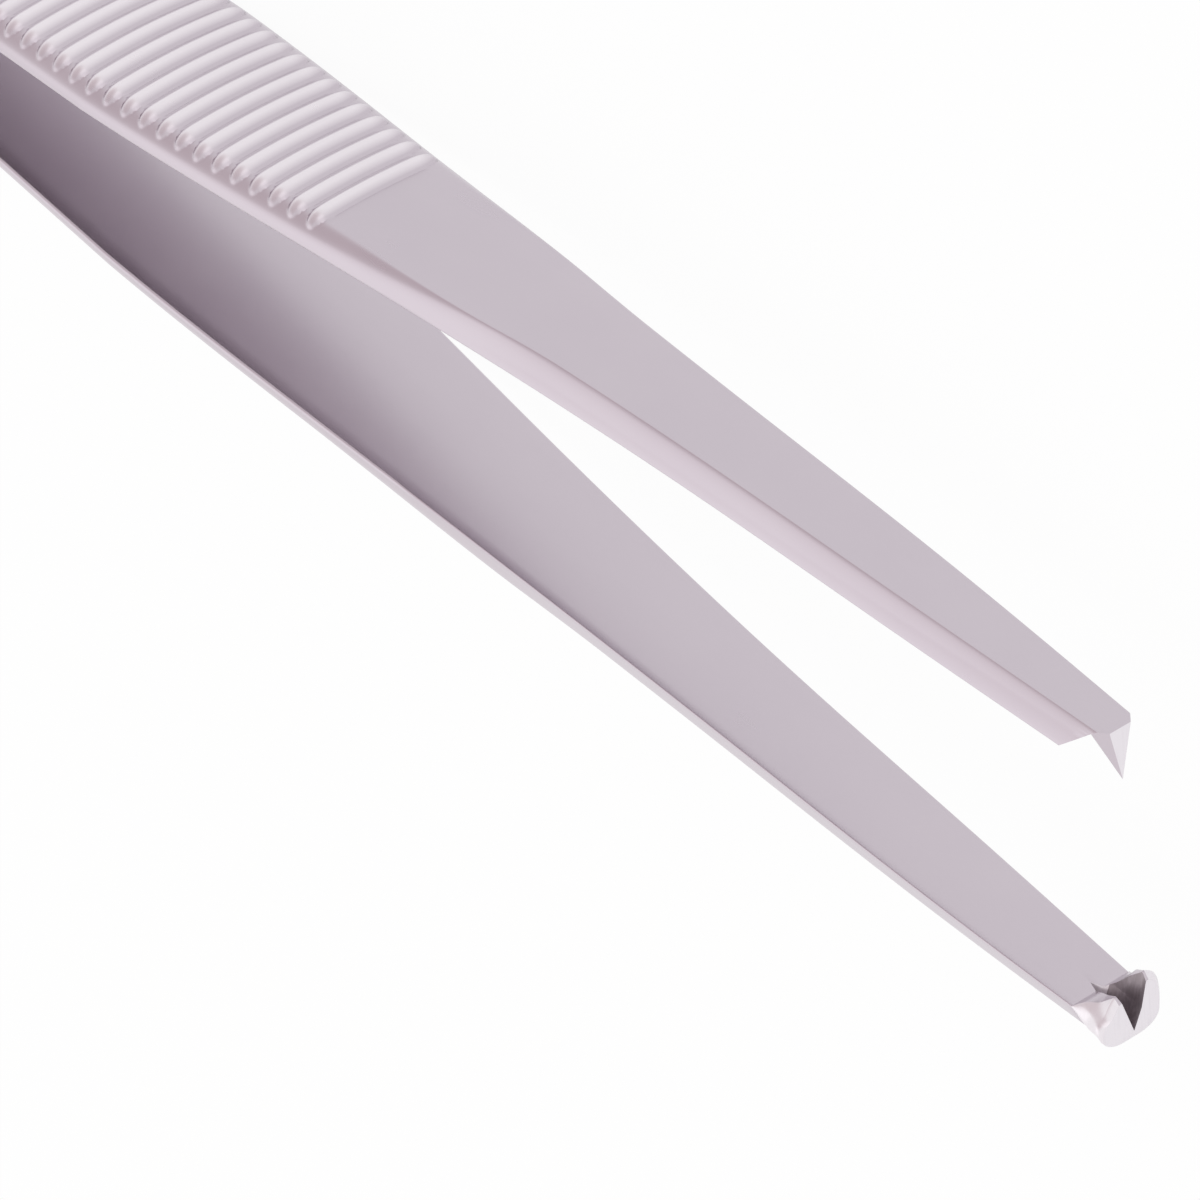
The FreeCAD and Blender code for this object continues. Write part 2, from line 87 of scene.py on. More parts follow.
class BladeSizes(PropertyGroup):
    """Sizes of the plain blades."""

    overall: length("Overall length", "Heel to tips", 145.0)
    weld: length("Weld length", "Stretch where the blades lie flat together", 21.8)
    splay: angle("Splay", "Slope of each blade away from the middle", 3.8)
    bow: length("Tip bow", "How far each blade bows back inward at its tip", 1.31)
    tip_lean: angle("Tip lean", "Lean of the side faces at the tip", 22.0)
    lean: angle("Side lean", "Lean of the side faces along the shank", 18.5)
    grip_lean: angle("Grip lean", "Lean of the side faces along the grip", 3.0)
    side_bulge: length("Side bulge", "Swell of the side faces between their edges", 0.02)
    tip_width: length("Tip width", "Inner face at the tip", 2.74)
    nose_width: length("Nose width", "Inner face a quarter of the way to the neck", 3.8)
    shank_width: length("Shank width", "Inner face halfway to the neck", 4.54)
    neck_width: length("Neck width", "Inner face just ahead of the ribs", 6.95)
    grip_width: length("Grip width", "Inner face along the ribbed grip", 9.1)
    spring_width: length("Spring width", "Inner face behind the grip", 7.7)
    root_width: length("Root width", "Inner face where the blades meet", 6.9)
    heel_width: length("Heel width", "Inner face at the heel", 6.5)
    tip_thickness: length("Tip thickness", "Blade at the tip", 1.34)
    grip_thickness: length("Grip thickness", "Blade along the grip, without the ribs", 1.5)
    spring_thickness: length("Spring thickness", "Blade behind the grip", 1.2)
    heel_thickness: length("Heel thickness", "Blade at the heel", 1.15)
    crown_radius: length("Crown radius", "Crown of the outer face across the grip", 31.0)
    crown_cut: length("Crown cut", "Metal taken off along the middle by the crown", 0.02)
    heel_end: length("Heel end radius", "Rounding of the end of the heel", 3.7)
    tip_round: length("Tip edge", "Depth of the softened outer edge at the tip", 0.4)
    shank_round: length("Shank edge", "Depth of the softened outer edge along the shank", 0.95)
    grip_round: length("Grip edge", "Depth of the softened outer edge along the grip", 1.3)
    shank_brim: length("Shank brim", "Softened edge across the outer face of the shank", 0.1)
    grip_brim: length("Grip brim", "Softened edge across the outer face of the grip", 0.95)
    inner_round: length("Inner edge", "Softened edge of the inner face of the shank", 0.1)
    grip_inner_round: length("Grip inner edge", "Softened edge of the inner face of the grip", 0.14)


class GripSizes(PropertyGroup):
    """Sizes of the ribbed grip."""

    neck_run: length("Neck run", "Plain stretch between the neck and the first rib", 3.0)
    lead: length("Lead", "First rib to where the grip has its full width", 16.0)
    first: length("First rib", "Tip to the middle of the first rib", 48.6)
    pitch: length("Rib pitch", "Rib to rib", 1.3)
    count: IntProperty(name="Ribs", description="Ribs on each blade", default=27, min=1)
    height: length("Rib height", "Rib above the face between ribs", 0.3)
    half_width: length("Rib half width", "Half of a rib at its foot", 0.53)
    taper: FloatProperty(name="Rib taper", default=2.2,
                         description="Length of a rib's tapered end over its half width")
    reach: share("Rib reach", "Share of the softened edge that the ribs run onto", 0.9)
    trim: length("Rib trim", "How much sooner the ribs stop where they are ground shorter", 0.28)


class TipSizes(PropertyGroup):
    """Sizes of the interlocking teeth."""

    jaw: length("Jaw length", "Tip to the end of the flat inner face", 2.1)
    slope: angle("Jaw slope", "Slope of the paired teeth and of the recesses for them", 40.4)
    reach: length("Tooth reach", "Single tooth beyond the inner face", 1.27)
    end_width: length("Tooth end width", "Single tooth across the outer face at its end", 1.04)
    shoulder_width: length("Shoulder width", "Single tooth across its shoulders", 1.86)
    shoulder_back: length("Shoulder back", "Shoulders behind the end", 0.57)
    shoulder_drop: length("Shoulder drop", "Shoulders below the outer face", 0.14)
    point_back: length("Point back", "Points of the paired teeth behind the end", 0.27)
    spacing: length("Point spacing", "Ridge to ridge of the paired teeth", 1.5)
    flare: length("Flare", "Width across the paired teeth near the end", 3.12)
    flank: length("Flank height", "Points of the teeth down to the widest part", 1.5)
    base_width: length("Base width", "Flat of the outer face across the end", 0.9)
    end_thin: length("End thinning", "Outer face drawn in at the end", 0.36)
    nose_round: length("Nose rounding", "Rounding of the sides of the end in plan", 0.35)
    drift: length("Nose drift", "How far the outer part of the end is ground to one side", 0.2)
    tilt: FloatProperty(name="Nose tilt", default=0.32,
                        description="Sideways slope of the tops of the paired teeth")
    notch: angle("Notch", "Angle between the walls of the notch", 33.0)
    notch_shift: length("Notch shift", "How far the notch lies off the middle", 0.07)
    belly: length("Notch belly", "Swell of the far wall of the notch", 0.13)
    floor: length("Notch floor", "Metal under the notch at the end", 0.28)
    run: length("Notch run", "Length of the level floor of the notch", 1.9)
    tail: length("Notch tail", "Run of the notch into the flat inner face", 0.55)
    bevel: length("Tooth bevel", "Softened edges of the ground teeth", 0.025)


class SteelColours(PropertyGroup):
    """Colours and finish of the satin steel."""

    base: tint("Steel", "Colour of the satin steel", (0.57, 0.512, 0.567))
    pale: tint("Pale steel", "Colour where the brushing is finer", (0.61, 0.553, 0.602))
    # Rib crest colour: a painted highlight on the crests of the ribs.
    crest: tint("Rib crests", "Colour of the polished crests of the ribs", (0.83, 0.78, 0.82))
    # Ground-face colour: a painted highlight on the ground faces of the teeth.
    ground: tint("Ground faces", "Colour of the freshly ground faces of the teeth", (0.82, 0.78, 0.82))
    # Notch colour: painted shade on the walls of the notch.
    notch: tint("Notch", "Colour of the coarse walls of the notch", (0.34, 0.3, 0.32))
    roughness: share("Roughness", "Mean roughness of the satin finish", 0.29)


class StudioSizes(PropertyGroup):
    """Camera, table and lights."""

    focal: FloatProperty(name="Focal length", description="Lens on a 36 mm sensor, in millimetres",
                         default=221.27)
    table: length("Table", "Side of the white table top", 3000.0)
    sky: FloatProperty(name="Sky", description="Strength of the soft light all round", default=1.02)
    bright: tint("Room", "Tone of the room", (1.0, 0.99, 0.985))
    dim: tint("Dim side", "Tone of the dimmer part of the room", (0.73, 0.655, 0.665))
    dim_way: FloatVectorProperty(name="Dim way", description="Where the room is dimmer",
                                 default=(-0.5, 0.55, 0.67), subtype="DIRECTION")
    dim_start: share("Dim start", "Cosine off that way at which the room starts to dim", 0.62)
    dim_full: share("Dim full", "Cosine off that way from which the room is at its dimmest", 0.98)
    side_power: FloatProperty(name="Side lamp", description="Power of the side lamp",
                              default=0.052, unit="POWER")
    side_size: length("Side lamp size", "Side of the side lamp", 270.0)
    side_place: FloatVectorProperty(name="Side lamp place", description="Where the side lamp hangs",
                                    default=(-0.17, -0.12, 0.31), subtype="TRANSLATION")
    lamp_power: FloatProperty(name="Lamp", description="Power of the soft lamp",
                              default=0.12, unit="POWER")
    lamp_size: length("Lamp size", "Side of the soft lamp", 420.0)
    lamp_place: FloatVectorProperty(name="Lamp place", description="Where the soft lamp hangs",
                                    default=(0.2, 0.52, 0.26), subtype="TRANSLATION")
    white: share("White share", "Share of the table's white that shadows don't reach", 0.94)


# Node trees

class Wire:
    """A socket in a node tree; arithmetic on wires adds Math nodes."""

    def __init__(self, graph, socket):
        self.graph = graph
        self.socket = socket

    def _math(self, operation, first, second):
        return self.graph.node("ShaderNodeMath", {"operation": operation}, {0: first, 1: second})

    def __add__(self, other):
        return self._math("ADD", self, other)

    def __radd__(self, other):
        return self._math("ADD", other, self)

    def __sub__(self, other):
        return self._math("SUBTRACT", self, other)

    def __rsub__(self, other):
        return self._math("SUBTRACT", other, self)

    def __mul__(self, other):
        return self._math("MULTIPLY", self, other)

    def __rmul__(self, other):
        return self._math("MULTIPLY", other, self)

    def __truediv__(self, other):
        return self._math("DIVIDE", self, other)

    def __rtruediv__(self, other):
        return self._math("DIVIDE", other, self)

    def __pow__(self, other):
        return self._math("POWER", self, other)

    def __rpow__(self, other):
        return self._math("POWER", other, self)


class Graph:
    """A node tree that is filled by calls."""

    def __init__(self, tree):
        self.tree = tree
        tree.nodes.clear()

    def node(self, kind, settings=None, values=None, out=0):
        """New node: its settings first, then values or links of its sockets; gives one output."""
        made = self.tree.nodes.new(kind)
        for name, value in (settings or {}).items():
            setattr(made, name, value)
        for key, value in (values or {}).items():
            if isinstance(value, Wire):
                self.tree.links.new(value.socket, made.inputs[key])
            else:
                made.inputs[key].default_value = value
        return Wire(self, made.outputs[out]) if made.outputs else made

    def maximum(self, first, second):
        """The larger of two values."""
        return self.node("ShaderNodeMath", {"operation": "MAXIMUM"}, {0: first, 1: second})

    def minimum(self, first, second):
        """The smaller of two values."""
        return self.node("ShaderNodeMath", {"operation": "MINIMUM"}, {0: first, 1: second})

    def unary(self, operation, value):
        """A Math operation on one value."""
        return self.node("ShaderNodeMath", {"operation": operation}, {0: value})


# Steel

CLOUD_SCALE = (160.0, 260.0, 260.0)
BRUSHING_SCALE = (90.0, 2600.0, 2600.0)
GRINDING_SCALE = (9000.0, 700.0, 9000.0)


def new_material(name):
    """Empty node material and its graph."""
    material = bpy.data.materials.new(name)
    material.use_nodes = True
    return material, Graph(material.node_tree)


def satin_steel(colours):
    """Satin steel, finely brushed along the blades and coarsely ground across the teeth, with a painted
    highlight on the rib crests and on the ground faces of the teeth and painted shade in the notch.
    """
    material, graph = new_material("satin_steel")
    place = graph.node("ShaderNodeTexCoord", out="Object")

    def streaks(scale, detail):
        stretched = graph.node("ShaderNodeMapping", {}, {"Vector": place, "Scale": scale})
        return graph.node("ShaderNodeTexNoise", {}, {"Vector": stretched, "Scale": 1.0, "Detail": detail,
                                                     "Roughness": 0.6})

    def stored(name):
        return graph.node("ShaderNodeAttribute", {"attribute_name": name}, out="Fac")

    def toward(colour, other, factor):
        return graph.node("ShaderNodeMix", {"data_type": "RGBA"},
                          {"Factor": factor, "A": colour, "B": (*other, 1.0)}, out="Result")

    clouds = streaks(CLOUD_SCALE, 2.0)
    brushing = streaks(BRUSHING_SCALE, 1.0)
    grinding = streaks(GRINDING_SCALE, 2.0)
    crest, ground, notch = stored("crest"), stored("ground"), stored("notch")
    # Painted highlight: the rib crests are painted brighter where the ribs rise highest.
    painted_highlight = graph.minimum(graph.maximum(crest * 1.6 - 0.5, 0.0), 1.0)
    colour = toward((*colours.base, 1.0), colours.pale, clouds)
    colour = toward(colour, colours.crest, painted_highlight)
    # Painted highlight: the ground faces of the teeth are painted brighter, streaked by the grinding
    # marks.
    colour = toward(colour, colours.ground, ground * (0.75 + 0.5 * grinding))
    # Painted shade: the notch walls are painted darker, broken by the grinding marks; the notch's coarse
    # grinding also shows in the roughness and bump below.
    colour = toward(colour, colours.notch, notch * (1.5 - 1.2 * grinding))
    roughness = colours.roughness + (clouds - 0.5) * 0.06 + (brushing - 0.5) * 0.03 + notch * 0.14
    bump = graph.node("ShaderNodeBump", {}, {"Strength": 0.08, "Distance": 0.02 * MM,
                                             "Height": grinding * notch})
    shader = graph.node("ShaderNodeBsdfPrincipled", {}, {
        "Base Color": colour, "Metallic": 1.0, "Roughness": roughness, "Normal": bump})
    graph.node("ShaderNodeOutputMaterial", {}, {"Surface": shader})
    return material


# Shape of a blade

def natural_spline(pairs):
    """Smooth function through (position, value) pairs."""
    at = numpy.array([position for position, value in pairs])
    values = numpy.array([value for position, value in pairs])
    gaps = numpy.diff(at)
    size = len(at)
    matrix = numpy.eye(size)
    right = numpy.zeros(size)
    for i in range(1, size - 1):
        matrix[i, i - 1:i + 2] = gaps[i - 1], 2 * (gaps[i - 1] + gaps[i]), gaps[i]
        right[i] = 6 * ((values[i + 1] - values[i]) / gaps[i] - (values[i] - values[i - 1]) / gaps[i - 1])
    bends = numpy.linalg.solve(matrix, right)

    def value_at(position):
        i = min(max(int(numpy.searchsorted(at, position)) - 1, 0), size - 2)
        ahead, behind, gap = at[i + 1] - position, position - at[i], gaps[i]
        return float((bends[i] * ahead ** 3 + bends[i + 1] * behind ** 3) / (6 * gap)
                     + (values[i] / gap - bends[i] * gap / 6) * ahead
                     + (values[i + 1] / gap - bends[i + 1] * gap / 6) * behind)

    return value_at


def eased(value, start, end):
    """Smooth rise from 0 at the start to 1 at the end."""
    done = min(1.0, max(0.0, (value - start) / (end - start)))
    return done * done * (3 - 2 * done)


class BladeForm:
    """Heights, widths and sections of a plain blade."""

    def __init__(self, blade, grip, near_trim):
        self.blade = blade
        self.grip = grip
        self.near_trim = near_trim
        self.neck = grip.first - grip.neck_run
        self.grip_end = grip.first + grip.count * grip.pitch
        self.weld = blade.overall - blade.weld
        self.spring = (self.grip_end + self.weld) / 2
        self.slope = math.tan(blade.splay)
        self.width = natural_spline([
            (0.0, blade.tip_width), (self.neck / 4, blade.nose_width),
            (self.neck / 2, blade.shank_width), (self.neck, blade.neck_width),
            (grip.first + grip.lead, blade.grip_width),
            (self.grip_end - 4 * grip.pitch, blade.grip_width),
            (self.spring, blade.spring_width), (self.weld, blade.root_width),
            (blade.overall, blade.heel_width)])

    def bowed(self, back):
        """Share of the tip's bow at a distance back."""
        return max(0.0, (self.neck - back) / self.neck) ** 2

    def inner(self, back):
        """Height of the inner face."""
        return max(0.0, (self.weld - back) * self.slope) - self.blade.bow * self.bowed(back)

    def half_width(self, back):
        """Half width of the inner face."""
        return min(self.width(back), self.blade.grip_width) / 2

    def gripped(self, back):
        """1 along the grip, 0 along the shank and a half along the spring."""
        return eased(back, self.neck * 0.8, self.grip.first + 2 * self.grip.pitch) * (
            1 - 0.5 * eased(back, self.grip_end, self.spring))

    def lean(self, back):
        """Slope of the side faces."""
        blade = self.blade
        upright = eased(back, self.neck * 0.7, self.neck * 1.05)
        tipward = 1 - eased(back, 0.0, self.neck / 2)
        return math.tan(blade.lean + (blade.grip_lean - blade.lean) * upright
                        + (blade.tip_lean - blade.lean) * tipward)

    def softened(self, back):
        """Size of the softened outer edge: across the outer face, and down the side face."""
        blade = self.blade
        shanked = eased(back, -0.1 * self.neck, self.neck / 2)
        plain = blade.tip_round + (blade.shank_round - blade.tip_round) * shanked
        brim = blade.shank_brim * (0.5 + 0.5 * eased(back, 0.0, self.neck / 2))
        gripped = self.gripped(back)
        return brim + (blade.grip_brim - brim) * gripped, plain + (blade.grip_round - plain) * gripped

    def thickness(self, back):
        """Thickness before the crown."""
        blade = self.blade
        full = blade.grip_thickness + blade.crown_cut
        if back < self.grip_end:
            return full - (full - blade.tip_thickness) * self.bowed(back)
        if back < self.weld:
            return full + (blade.spring_thickness - full) * eased(back, self.grip_end, self.spring)
        return blade.spring_thickness + (blade.heel_thickness - blade.spring_thickness) * eased(
            back, self.weld, self.weld + 2 * MM)

    def top(self, back, across):
        """Height of the outer face over the inner one."""
        blade = self.blade
        crown = across ** 2 / (2 * blade.crown_radius)
        plain = self.thickness(back)
        if back > self.grip_end:
            return plain - crown * (1 - eased(back, self.grip_end, self.spring))
        return min(plain, blade.grip_thickness + blade.bow * self.bowed(back) - crown)

    def half_section(self, back):
        """Points (height, across) from the crest to the middle of the inner face, and the ribs' end."""
        blade = self.blade
        half, lean = self.half_width(back), self.lean(back)
        keen = blade.inner_round + (blade.grip_inner_round - blade.inner_round) * self.gripped(back)
        brim, deep = self.softened(back)
        edge = half
        for _ in range(4):
            edge = half - lean * self.top(back, edge)
        start, rim = edge - brim, self.top(back, edge)
        low = max(rim - deep, 1.2 * keen)
        corner, foot = (rim, edge), (low, half - lean * low)
        points = [(self.top(back, start * u), start * u) for u in CROWN_STEPS]
        points += soft_turn((self.top(back, start), start), corner, foot, 20)
        swell = (0.5 * (low + keen), half - lean * 0.5 * (low + keen) + blade.side_bulge * low / rim)
        points += bent_line(foot, swell, (keen, half - lean * keen), 6)[1:]
        points += soft_turn((keen, half - lean * keen), (0.0, half), (0.0, half - keen), 4)[1:]
        points += [(0.0, (half - keen) * (1 - u)) for u in INNER_STEPS]
        return points, start + self.grip.reach * brim

    def ring(self, back):
        """Section as (height, across, distance from the crest, rib end), all the way round."""
        blade = self.blade
        points, rib_end = self.half_section(back)
        from_end = blade.overall - back
        if from_end < blade.heel_end:
            reach = math.sqrt(max(0.0, blade.heel_end ** 2 - (blade.heel_end - from_end) ** 2))
            drawn = min(1.0, reach / max(across for height, across in points))
            points = [(height, across * drawn) for height, across in points]
        walked, distances = 0.0, [0.0]
        for (h0, a0), (h1, a1) in zip(points, points[1:]):
            walked += math.hypot(h1 - h0, a1 - a0)
            distances.append(walked)
        half = [(height, across, distance) for (height, across), distance in zip(points, distances)]
        near = [(height, across, distance, rib_end - self.near_trim) for height, across, distance in half]
        far = [(height, -across, distance, rib_end - self.grip.trim)
               for height, across, distance in half[-2:0:-1]]
        return near + far


CROWN_STEPS = [i / 16 for i in range(16)]
INNER_STEPS = [i / 6 for i in range(1, 7)]


def soft_turn(start, corner, end, steps):
    """Points of a round turn from start to end, inside their corner."""
    points = []
    for step in range(steps + 1):
        t = step / steps
        points.append(tuple(
            (1 - t) ** 3 * a + 3 * t * (1 - t) ** 2 * (a + 0.6 * (c - a))
            + 3 * t * t * (1 - t) * (b + 0.6 * (c - b)) + t ** 3 * b
            for a, b, c in zip(start, end, corner)))
    return points


def bent_line(start, through, end, steps):
    """Points of a shallow curve whose middle is near a point."""
    points = []
    for step in range(steps + 1):
        t = step / steps
        points.append(tuple(
            a + (b - a) * t + 4 * t * (1 - t) * (m - (a + b) / 2)
            for a, b, m in zip(start, end, through)))
    return points


def stations(form):
    """Distances back at which the blade has a section, closer together along the ribs."""
    blade, grip = form.blade, form.grip
    first = grip.first - grip.pitch
    fine, plain, ahead = grip.pitch / 16, 1.0 * MM, 0.5 * MM
    count = round((first + ahead) / plain)
    backs = [(first + ahead) * i / count - ahead for i in range(count)]
    count = round((form.grip_end - first) / fine)
    backs += [first + fine * i for i in range(count)]
    heel_start = blade.overall - blade.heel_end
    count = round((heel_start - form.grip_end) / plain)
    backs += [form.grip_end + (heel_start - form.grip_end) * i / count for i in range(count)]
    turns = 24
    backs += [blade.overall - blade.heel_end * (1 - math.sin(math.pi / 2 * i / turns))
              for i in range(turns)]
    return backs


def plain_blade(form, name):
    """Closed mesh of a blade without ribs or teeth, on the +Y side, a little too long at the tip."""
    rings = [(back, form.ring(back)) for back in stations(form)]
    around = len(rings[0][1])
    vertices, backs, walks, ends = [], [], [], []
    for back, ring in rings:
        base = form.inner(back)
        for height, across, walk, rib_end in ring:
            vertices.append((form.blade.overall / 2 - back, base + height, across))
            backs.append(back)
            walks.append(walk)
            ends.append(rib_end)
    faces = []
    for i in range(len(rings) - 1):
        here, there = i * around, (i + 1) * around
        faces += [(here + j, here + (j + 1) % around, there + (j + 1) % around, there + j)
                  for j in range(around)]
    faces.append(tuple(reversed(range(around))))
    faces.append(tuple(len(vertices) - around + j for j in range(around)))
    mesh = bpy.data.meshes.new(name)
    mesh.from_pydata(vertices, [], faces)
    for label, values in (("back", backs), ("walk", walks), ("rib_end", ends)):
        mesh.attributes.new(label, "FLOAT", "POINT").data.foreach_set("value", values)
    return oriented(mesh)


def oriented(mesh):
    """The mesh with its faces turned outward."""
    shape = bmesh.new()
    shape.from_mesh(mesh)
    bmesh.ops.recalc_face_normals(shape, faces=shape.faces)
    shape.to_mesh(mesh)
    shape.free()
    return mesh


# Ribs

RIB_FULLNESS = 0.85


def rib_tree(material):
    """Geometry Nodes tree that raises rounded ribs with round ends across a blade."""
    tree = bpy.data.node_groups.new("Grip ribs", "GeometryNodeTree")
    tree.interface.new_socket("Geometry", in_out="INPUT", socket_type="NodeSocketGeometry")
    for name in ("First rib", "Pitch", "Last rib", "Rib height", "Half width", "End taper"):
        tree.interface.new_socket(name, in_out="INPUT", socket_type="NodeSocketFloat")
    tree.interface.new_socket("Geometry", in_out="OUTPUT", socket_type="NodeSocketGeometry")
    graph = Graph(tree)
    entry = graph.node("NodeGroupInput").socket.node
    given = {socket.name: Wire(graph, socket) for socket in entry.outputs if socket.name}

    def stored(name):
        return graph.node("GeometryNodeInputNamedAttribute", {"data_type": "FLOAT"}, {"Name": name})

    back, walk, rib_end = stored("back"), stored("walk"), stored("rib_end")
    number = graph.unary("ROUND", (back - given["First rib"]) / given["Pitch"])
    number = graph.minimum(graph.maximum(number, 0.0), given["Last rib"])
    along = back - given["First rib"] - number * given["Pitch"]
    taper = given["End taper"]
    past_end = graph.maximum(walk - rib_end + given["Half width"] * taper, 0.0) / taper
    spread = (along * along + past_end * past_end) / (given["Half width"] * given["Half width"])
    rise = graph.maximum(1.0 - spread, 0.0) ** RIB_FULLNESS
    offset = graph.node("ShaderNodeVectorMath", {"operation": "SCALE"}, {
        0: graph.node("GeometryNodeInputNormal"), "Scale": given["Rib height"] * rise})
    # The rise is kept as the crest attribute, which the steel uses for the painted highlight on the rib
    # crests.
    marked = graph.node("GeometryNodeStoreNamedAttribute", {"data_type": "FLOAT", "domain": "POINT"}, {
        "Geometry": given["Geometry"], "Name": "crest", "Value": rise})
    raised = graph.node("GeometryNodeSetPosition", {}, {"Geometry": marked, "Offset": offset})
    real = graph.node("GeometryNodeRealizeInstances", {}, {"Geometry": raised})
    finished = graph.node("GeometryNodeSetMaterial", {}, {"Geometry": real, "Material": material})
    graph.node("NodeGroupOutput", {}, {"Geometry": finished})
    return tree


def raise_ribs(mesh, grip, material):
    """Plain mesh with the ribs raised on it."""
    carrier = new_object("rib_carrier", mesh)
    tree = rib_tree(material)
    modifier = carrier.modifiers.new("Ribs", "NODES")
    modifier.node_group = tree
    values = {"First rib": grip.first, "Pitch": grip.pitch, "Last rib": grip.count - 1.0,
              "Rib height": grip.height, "Half width": grip.half_width, "End taper": grip.taper}
    for item in tree.interface.items_tree:
        if item.in_out == "INPUT" and item.name in values:
            modifier[item.identifier] = values[item.name]
    return baked(carrier)


# Mesh helpers

def new_object(name, mesh):
    """Object at the origin with that mesh."""
    made = bpy.data.objects.new(name, mesh)
    bpy.context.scene.collection.objects.link(made)
    return made


def baked(carrier):
    """Mesh of an object with its modifiers applied; the object is removed."""
    bpy.context.view_layer.update()
    evaluated = carrier.evaluated_get(bpy.context.evaluated_depsgraph_get())
    mesh = bpy.data.meshes.new_from_object(evaluated)
    bpy.data.objects.remove(carrier)
    return mesh


def faceted(corners, faces):
    """Convex mesh with flat faces, each given by the indexes of its corners."""
    middle = sum(corners, Vector()) / len(corners)
    loops = []
    for face in faces:
        a, b, c = (corners[i] for i in face[:3])
        outward = (b - a).cross(c - b).dot(a - middle) > 0
        loops.append(tuple(face) if outward else tuple(reversed(face)))
    mesh = bpy.data.meshes.new("facets")
    mesh.from_pydata([tuple(corner) for corner in corners], [], loops)
    return mesh


MARKS = ("ground", "recess", "notch")
WELD_DISTANCE = 2e-7
KEEN_EDGE = math.radians(22)


def mark(name):
    """Stand-in material that carries a mark through the booleans."""
    return bpy.data.materials.get(name) or bpy.data.materials.new(name)


def carve(mesh, tools, bevel):
    """Mesh after exact booleans with (operation, mesh, mark) steps, its new edges a little softened."""
    carrier = new_object("carrier", mesh)
    helpers = []
    for number, (operation, tool, name) in enumerate(tools):
        if not tool.materials:
            tool.materials.append(mark(name))
        helper = new_object(f"tool_{number}", tool)
        helpers.append(helper)
        modifier = carrier.modifiers.new(f"Step {number}", "BOOLEAN")
        modifier.operation = operation
        modifier.solver = "EXACT"
        modifier.material_mode = "TRANSFER"
        modifier.object = helper
    result = baked(carrier)
    for helper in helpers:
        bpy.data.objects.remove(helper)
    return softened_edges(result, bevel)


def softened_edges(mesh, bevel):
    """Mesh with a fine bevel along the sharp edges of its ground faces, whose marks become attributes."""
    names = [material.name for material in mesh.materials]
    shape = bmesh.new()
    shape.from_mesh(mesh)
    bmesh.ops.remove_doubles(shape, verts=shape.verts, dist=WELD_DISTANCE)
    bmesh.ops.dissolve_degenerate(shape, edges=shape.edges, dist=WELD_DISTANCE)
    keen = [edge for edge in shape.edges
            if any(names[face.material_index] in MARKS for face in edge.link_faces)
            and len(edge.link_faces) == 2 and edge.calc_face_angle(0.0) > KEEN_EDGE]
    bmesh.ops.bevel(shape, geom=keen, offset=bevel, offset_type="OFFSET", segments=2, profile=0.5,
                    affect="EDGES", clamp_overlap=True, miter_outer="ARC")
    # The ground and notch marks become face attributes: the steel paints a highlight on ground faces and
    # shade on notch faces.
    for name in ("ground", "notch"):
        layer = shape.faces.layers.float.new(name)
        for face in shape.faces:
            face[layer] = float(names[face.material_index] == name)
    for face in shape.faces:
        face.material_index = 0
    shape.to_mesh(mesh)
    shape.free()
    return mesh


def point(form, back, height, across=0.0):
    """Place at a distance back from the tip."""
    return Vector((form.blade.overall / 2 - back, height, across))


# Teeth

OVERRUN = 0.3 * MM
NOSE_STEPS = 28
BELLY_AT = 0.36


def plane_across(first, second, third):
    """Function that gives a plane's across value at a place along and a height."""
    normal = (second - first).cross(third - first)

    def across(x, y):
        return first.z - (normal.x * (x - first.x) + normal.y * (y - first.y)) / normal.z

    return across


def block(form, backs, heights, half):
    """Upright box between two distances back and two heights."""
    corners = [point(form, back, height, across)
               for back in backs for height in heights for across in (-half, half)]
    return faceted(corners, [(0, 1, 3, 2), (4, 5, 7, 6), (0, 1, 5, 4),
                             (2, 3, 7, 6), (0, 2, 6, 4), (1, 3, 7, 5)])


def single_tooth_tools(form, tip):
    """Booleans that lengthen the end inward and grind it to one pointed tooth."""
    inner = form.inner(0.0)
    outer = inner + form.blade.tip_thickness
    reach = inner - tip.reach
    shoulder_height = outer - tip.shoulder_drop
    shoulder = point(form, tip.shoulder_back, shoulder_height, tip.shoulder_width / 2)
    end_corner = point(form, 0.0, outer, tip.end_width / 2)
    apex = point(form, 0.0, reach)
    root = point(form, tip.jaw, form.inner(tip.jaw))
    rise = math.tan(tip.slope)
    clear = 1.0 * MM
    low = reach - clear
    spare = 0.4 * MM
    stock = block(form, (-spare, 0.8 * tip.jaw), (reach - OVERRUN, inner + spare), 0.42 * form.width(0.0))
    end = block(form, (-2 * clear, 0.0), (low, outer + clear), 3 * clear)
    # The end cut carries the ground mark, which the steel paints with a highlight.
    tools = [("UNION", stock, "recess"), ("DIFFERENCE", end, "ground")]
    recess = [point(form, -clear, low),
              point(form, -clear, shoulder_height + rise * (tip.shoulder_back + clear)),
              point(form, tip.shoulder_back + (shoulder_height - low) / rise, low)]
    for facet in (plane_across(shoulder, end_corner, apex), plane_across(shoulder, apex, root)):
        far = max(facet(corner.x, corner.y) for corner in recess) + clear
        for side in (-1, 1):
            near_side = [Vector((c.x, c.y, side * facet(c.x, c.y))) for c in recess]
            far_side = [Vector((c.x, c.y, side * far)) for c in recess]
            tools.append(("DIFFERENCE", faceted(near_side + far_side, [
                (0, 1, 2), (3, 4, 5), (0, 1, 4, 3), (1, 2, 5, 4), (2, 0, 3, 5)]), "recess"))
    return tools


